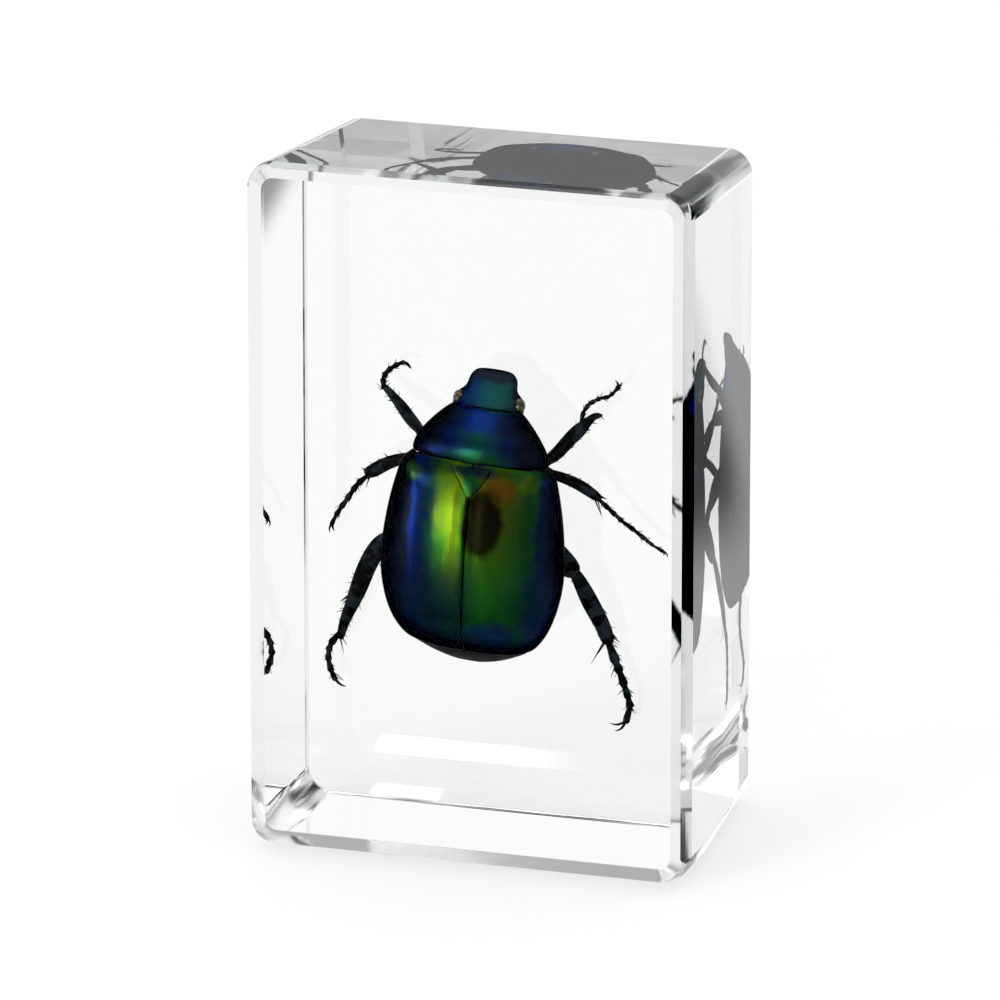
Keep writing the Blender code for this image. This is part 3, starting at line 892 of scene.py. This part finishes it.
foreShell = {
    "halfWidth": 4.6,       # of the colour scale across the beetle
    "wander": 0.5,
    # the pronotum's hind, middle and fore parts and the head: place across, from 0 to 1, and colour; their
    # near-black ends are painted shade on the sides
    "hind": [
        (0.00, (0.004, 0.005, 0.007)), (0.12, (0.004, 0.006, 0.022)), (0.22, (0.003, 0.010, 0.060)),
        (0.34, (0.004, 0.032, 0.030)), (0.46, (0.004, 0.042, 0.012)), (0.62, (0.004, 0.038, 0.010)),
        (0.74, (0.004, 0.018, 0.040)), (0.86, (0.004, 0.007, 0.018)), (1.00, (0.004, 0.005, 0.007)),
    ],
    "middle": [
        (0.00, (0.003, 0.004, 0.006)), (0.20, (0.004, 0.006, 0.014)), (0.32, (0.003, 0.012, 0.080)),
        (0.42, (0.004, 0.030, 0.060)), (0.52, (0.004, 0.042, 0.035)), (0.62, (0.004, 0.026, 0.050)),
        (0.72, (0.003, 0.010, 0.050)), (0.84, (0.004, 0.006, 0.012)), (1.00, (0.003, 0.004, 0.006)),
    ],
    "fore": [
        (0.00, (0.003, 0.004, 0.006)), (0.26, (0.004, 0.006, 0.010)), (0.38, (0.004, 0.010, 0.050)),
        (0.48, (0.004, 0.020, 0.140)), (0.56, (0.004, 0.020, 0.110)), (0.66, (0.004, 0.007, 0.026)),
        (0.76, (0.003, 0.005, 0.010)), (1.00, (0.003, 0.004, 0.006)),
    ],
    "head": [
        (0.00, (0.005, 0.006, 0.008)), (0.28, (0.004, 0.010, 0.040)), (0.38, (0.005, 0.026, 0.090)),
        (0.50, (0.008, 0.055, 0.060)), (0.60, (0.008, 0.050, 0.045)), (0.70, (0.006, 0.022, 0.030)),
        (1.00, (0.005, 0.006, 0.008)),
    ],
    "snout": (0.010, 0.013, 0.022),
    # painted shade: the pronotum's hind edge is near-black where it meets the wing cases
    "paintedGrooveShade": (0.002, 0.003, 0.004),
    # where along the beetle each one starts and is complete
    "middleFrom": (4.3, 5.0),
    "foreFrom": (5.6, 6.2),
    "headFrom": (6.95, 7.15),
    "snoutFrom": (8.25, 8.7),
    "paintedGrooveShadeFrom": (4.10, 3.90),
}


def foreMaterial():
    material, nodes, links, shader = newMaterial("iridescentForeBody")
    spot = beetleSpot(nodes, links)
    moved, axes = wanderingAxes(nodes, links, spot, foreShell["wander"])
    reach = foreShell["halfWidth"]
    across = addRange(nodes, links, axes["X"], -reach, reach, easing="LINEAR")
    colour = addRamp(nodes, links, across, foreShell["hind"])
    for part in ("middle", "fore", "head"):
        start = addRange(nodes, links, axes["Y"], *foreShell[part + "From"])
        colour = addMix(nodes, links, start, colour, addRamp(nodes, links, across, foreShell[part]))
    # the snout grows darker, and painted shade darkens the pronotum's hind edge
    for part in ("snout", "paintedGrooveShade"):
        start = addRange(nodes, links, axes["Y"], *foreShell[part + "From"])
        colour = addMix(nodes, links, start, colour, foreShell[part])
    finishShell(nodes, links, shader, spot, colour)
    return material


darkShell = {
    "dark": (0.002, 0.0025, 0.003),
    "limbPale": (0.014, 0.018, 0.023),
    "undersidePale": (0.002, 0.002, 0.003),
    "patchScale": 1.1,
    "patchRange": (0.42, 0.60),
    "grainScale": 14.0,
    "grainBump": (0.5, 0.04),
    "roughness": 0.45,
    "index": 1.08,          # against the resin around it
}


def darkMaterial(name, pale):
    material, nodes, links, shader = newMaterial(name)
    spot = beetleSpot(nodes, links)
    cloud = addNoise(nodes, links, spot, darkShell["patchScale"], 3)
    tone = addRange(nodes, links, cloud.outputs["Fac"], *darkShell["patchRange"])
    colour = addRamp(nodes, links, tone, [(0.0, darkShell["dark"]), (1.0, pale)])
    links.new(colour, shader.inputs["Base Color"])
    grain = addNoise(nodes, links, spot, darkShell["grainScale"], 3)
    addBump(nodes, links, shader, grain.outputs["Fac"], *darkShell["grainBump"])
    shader.inputs["Roughness"].default_value = darkShell["roughness"]
    shader.inputs["IOR"].default_value = darkShell["index"]
    return material


eyeFinish = {
    "dark": (0.012, 0.009, 0.005),
    "gold": (0.260, 0.170, 0.030),
    "patchScale": 3.0,
    "patchRange": (0.48, 0.66),
    "facetScale": 12.0,
    "facetBump": (0.4, -0.03),
    "roughness": 0.3,
}


def eyeMaterial():
    material, nodes, links, shader = newMaterial("goldenEyes")
    spot = beetleSpot(nodes, links)
    cloud = addNoise(nodes, links, spot, eyeFinish["patchScale"], 3)
    tone = addRange(nodes, links, cloud.outputs["Fac"], *eyeFinish["patchRange"])
    colour = addRamp(nodes, links, tone, [(0.0, eyeFinish["dark"]), (1.0, eyeFinish["gold"])])
    links.new(colour, shader.inputs["Base Color"])
    facets = nodes.new("ShaderNodeTexVoronoi")
    facets.inputs["Scale"].default_value = eyeFinish["facetScale"]
    links.new(spot, facets.inputs["Vector"])
    addBump(nodes, links, shader, facets.outputs["Distance"], *eyeFinish["facetBump"])
    shader.inputs["Roughness"].default_value = eyeFinish["roughness"]
    return material


shellFinish = shellMaterial()
foreFinish = foreMaterial()
limbFinish = darkMaterial("darkLimbs", darkShell["limbPale"])

makeUnderside(darkMaterial("darkUnderside", darkShell["undersidePale"]))
makeWingCase("wing_case_left", -1, shellFinish)
makeWingCase("wing_case_right", 1, shellFinish)
makeScutellum(shellFinish)
makeBodyForm("pronotum", pronotum, foreFinish, pronotumShape)
makeBodyForm("head", head, foreFinish, headShape)
makeEyes(eyeMaterial())
print("body made")

for legName, leg in legs.items():
    makeLeg(legName, leg, limbFinish)
makeSpines(limbFinish)
print("legs made")


# Camera, floor and light

camera = {
    "place": (188.34, -573.38, 181.79),     # in the block's frame
    "azimuth": 17.954,
    "elevation": 16.585,
    "lens": 365.24,
    "sensor": 36,
    "clip": (0.01, 20),
}


def makeCamera():
    azimuth = math.radians(camera["azimuth"])
    elevation = math.radians(camera["elevation"])
    back = Vector((math.sin(azimuth) * math.cos(elevation),
                   -math.cos(azimuth) * math.cos(elevation), math.sin(elevation)))
    right = Vector((0, 0, 1)).cross(back).normalized()
    up = back.cross(right)
    turn = Matrix((right, up, back)).transposed()
    data = bpy.data.cameras.new("camera")
    data.lens = camera["lens"]
    data.sensor_width = camera["sensor"]
    data.clip_start, data.clip_end = camera["clip"]
    obj = bpy.data.objects.new("camera", data)
    scene.collection.objects.link(obj)
    place = blockToScene @ Vector(camera["place"])
    lean = blockToScene.to_3x3().normalized()
    obj.matrix_world = Matrix.Translation(place) @ (lean @ turn).to_4x4()
    scene.camera = obj


light = {
    "floorSize": 3.0,       # half of its width, in m
    "floorGap": 0.0001,     # keeps it clear of the polished base, in m
    "floorGlow": 0.62,      # the floor is a light table
    "floorColour": 0.3,
    # right of both lines it is dim, which the photograph's view shows only in the block's right wall:
    # the degrees right of +Y that a line runs, and the mm to its right between which the floor grows dim
    "dimLines": [(-17.954, 33.0, 48.0), (14.5, 5.0, 8.5)],
    "dimTo": 0.3,
    "horizon": 0.45,        # brightness of the backdrop at the floor
    "sky": 1.05,            # and higher up
    "skyRise": (0.05, 0.40),    # sines of the heights between which it changes
    "blackLevel": 0.05,     # the photograph's darkest tone
    "bounces": 32,          # of a ray inside the block
    # lamps: place in m, size in m, power in W
    "overhead": ((0.0, 0.1, 0.9), 1.2, 2.8),
    "left": ((-0.30, -0.52, 0.06), 0.28, 6.0),
    "lampTarget": (0, 0, 0.02),
}


def rightOfLine(nodes, links, spot, turn, start, end):
    across = nodes.new("ShaderNodeMapping")
    across.inputs["Rotation"].default_value = (0, 0, math.radians(turn))
    across.inputs["Scale"].default_value = (1 / mm, 1 / mm, 1 / mm)
    axes = nodes.new("ShaderNodeSeparateXYZ")
    links.new(spot, across.inputs["Vector"])
    links.new(across.outputs["Vector"], axes.inputs["Vector"])
    return addRange(nodes, links, axes.outputs["X"], start, end)


def makeFloor():
    bm = bmesh.new()
    bmesh.ops.create_grid(bm, x_segments=1, y_segments=1, size=light["floorSize"])
    bmesh.ops.translate(bm, verts=bm.verts[:], vec=(0, 0, -light["floorGap"]))
    material, nodes, links, shader = newMaterial("paleFloor")
    where = nodes.new("ShaderNodeTexCoord")
    both = nodes.new("ShaderNodeMath")
    both.operation = "MULTIPLY"
    for line, socket in zip(light["dimLines"], both.inputs):
        links.new(rightOfLine(nodes, links, where.outputs["Object"], *line), socket)
    dim = both.outputs["Value"]
    for value, socket in (("floorColour", "Base Color"), ("floorGlow", "Emission Strength")):
        tone = addRange(nodes, links, dim, 0, 1, light[value], light[value] * light["dimTo"])
        links.new(tone, shader.inputs[socket])
    shader.inputs["Emission Color"].default_value = (1, 1, 1, 1)
    shader.inputs["Roughness"].default_value = 0.8
    shader.inputs["Specular IOR Level"].default_value = 0.0
    addPiece("floor", bm, material)


def addLamp(name, place, size, power):
    lamp = bpy.data.lights.new(name, "AREA")
    lamp.shape = "DISK"
    lamp.size = size
    lamp.energy = power
    obj = bpy.data.objects.new(name, lamp)
    scene.collection.objects.link(obj)
    way = Vector(light["lampTarget"]) - Vector(place)
    obj.matrix_world = Matrix.Translation(place) @ way.to_track_quat("-Z", "Y").to_matrix().to_4x4()


def makeLight():
    world = bpy.data.worlds.new("studio")
    world.use_nodes = True
    nodes, links = world.node_tree.nodes, world.node_tree.links
    nodes["Background"].inputs["Color"].default_value = (1, 1, 1, 1)
    where = nodes.new("ShaderNodeTexCoord")
    axes = nodes.new("ShaderNodeSeparateXYZ")
    links.new(where.outputs["Generated"], axes.inputs["Vector"])
    glow = addRange(nodes, links, axes.outputs["Z"], *light["skyRise"], light["horizon"], light["sky"],
                    "LINEAR")
    links.new(glow, nodes["Background"].inputs["Strength"])
    scene.world = world
    for name in ("overhead", "left"):
        addLamp(name, *light[name])
    view = scene.view_settings
    view.view_transform = "Standard"
    view.use_curve_mapping = True
    view.curve_mapping.black_level = (light["blackLevel"],) * 3
    view.curve_mapping.update()
    scene.cycles.max_bounces = light["bounces"]
    scene.cycles.transmission_bounces = light["bounces"]
    scene.cycles.glossy_bounces = light["bounces"]


makeCamera()
makeFloor()
makeLight()
print("camera, floor and light made")
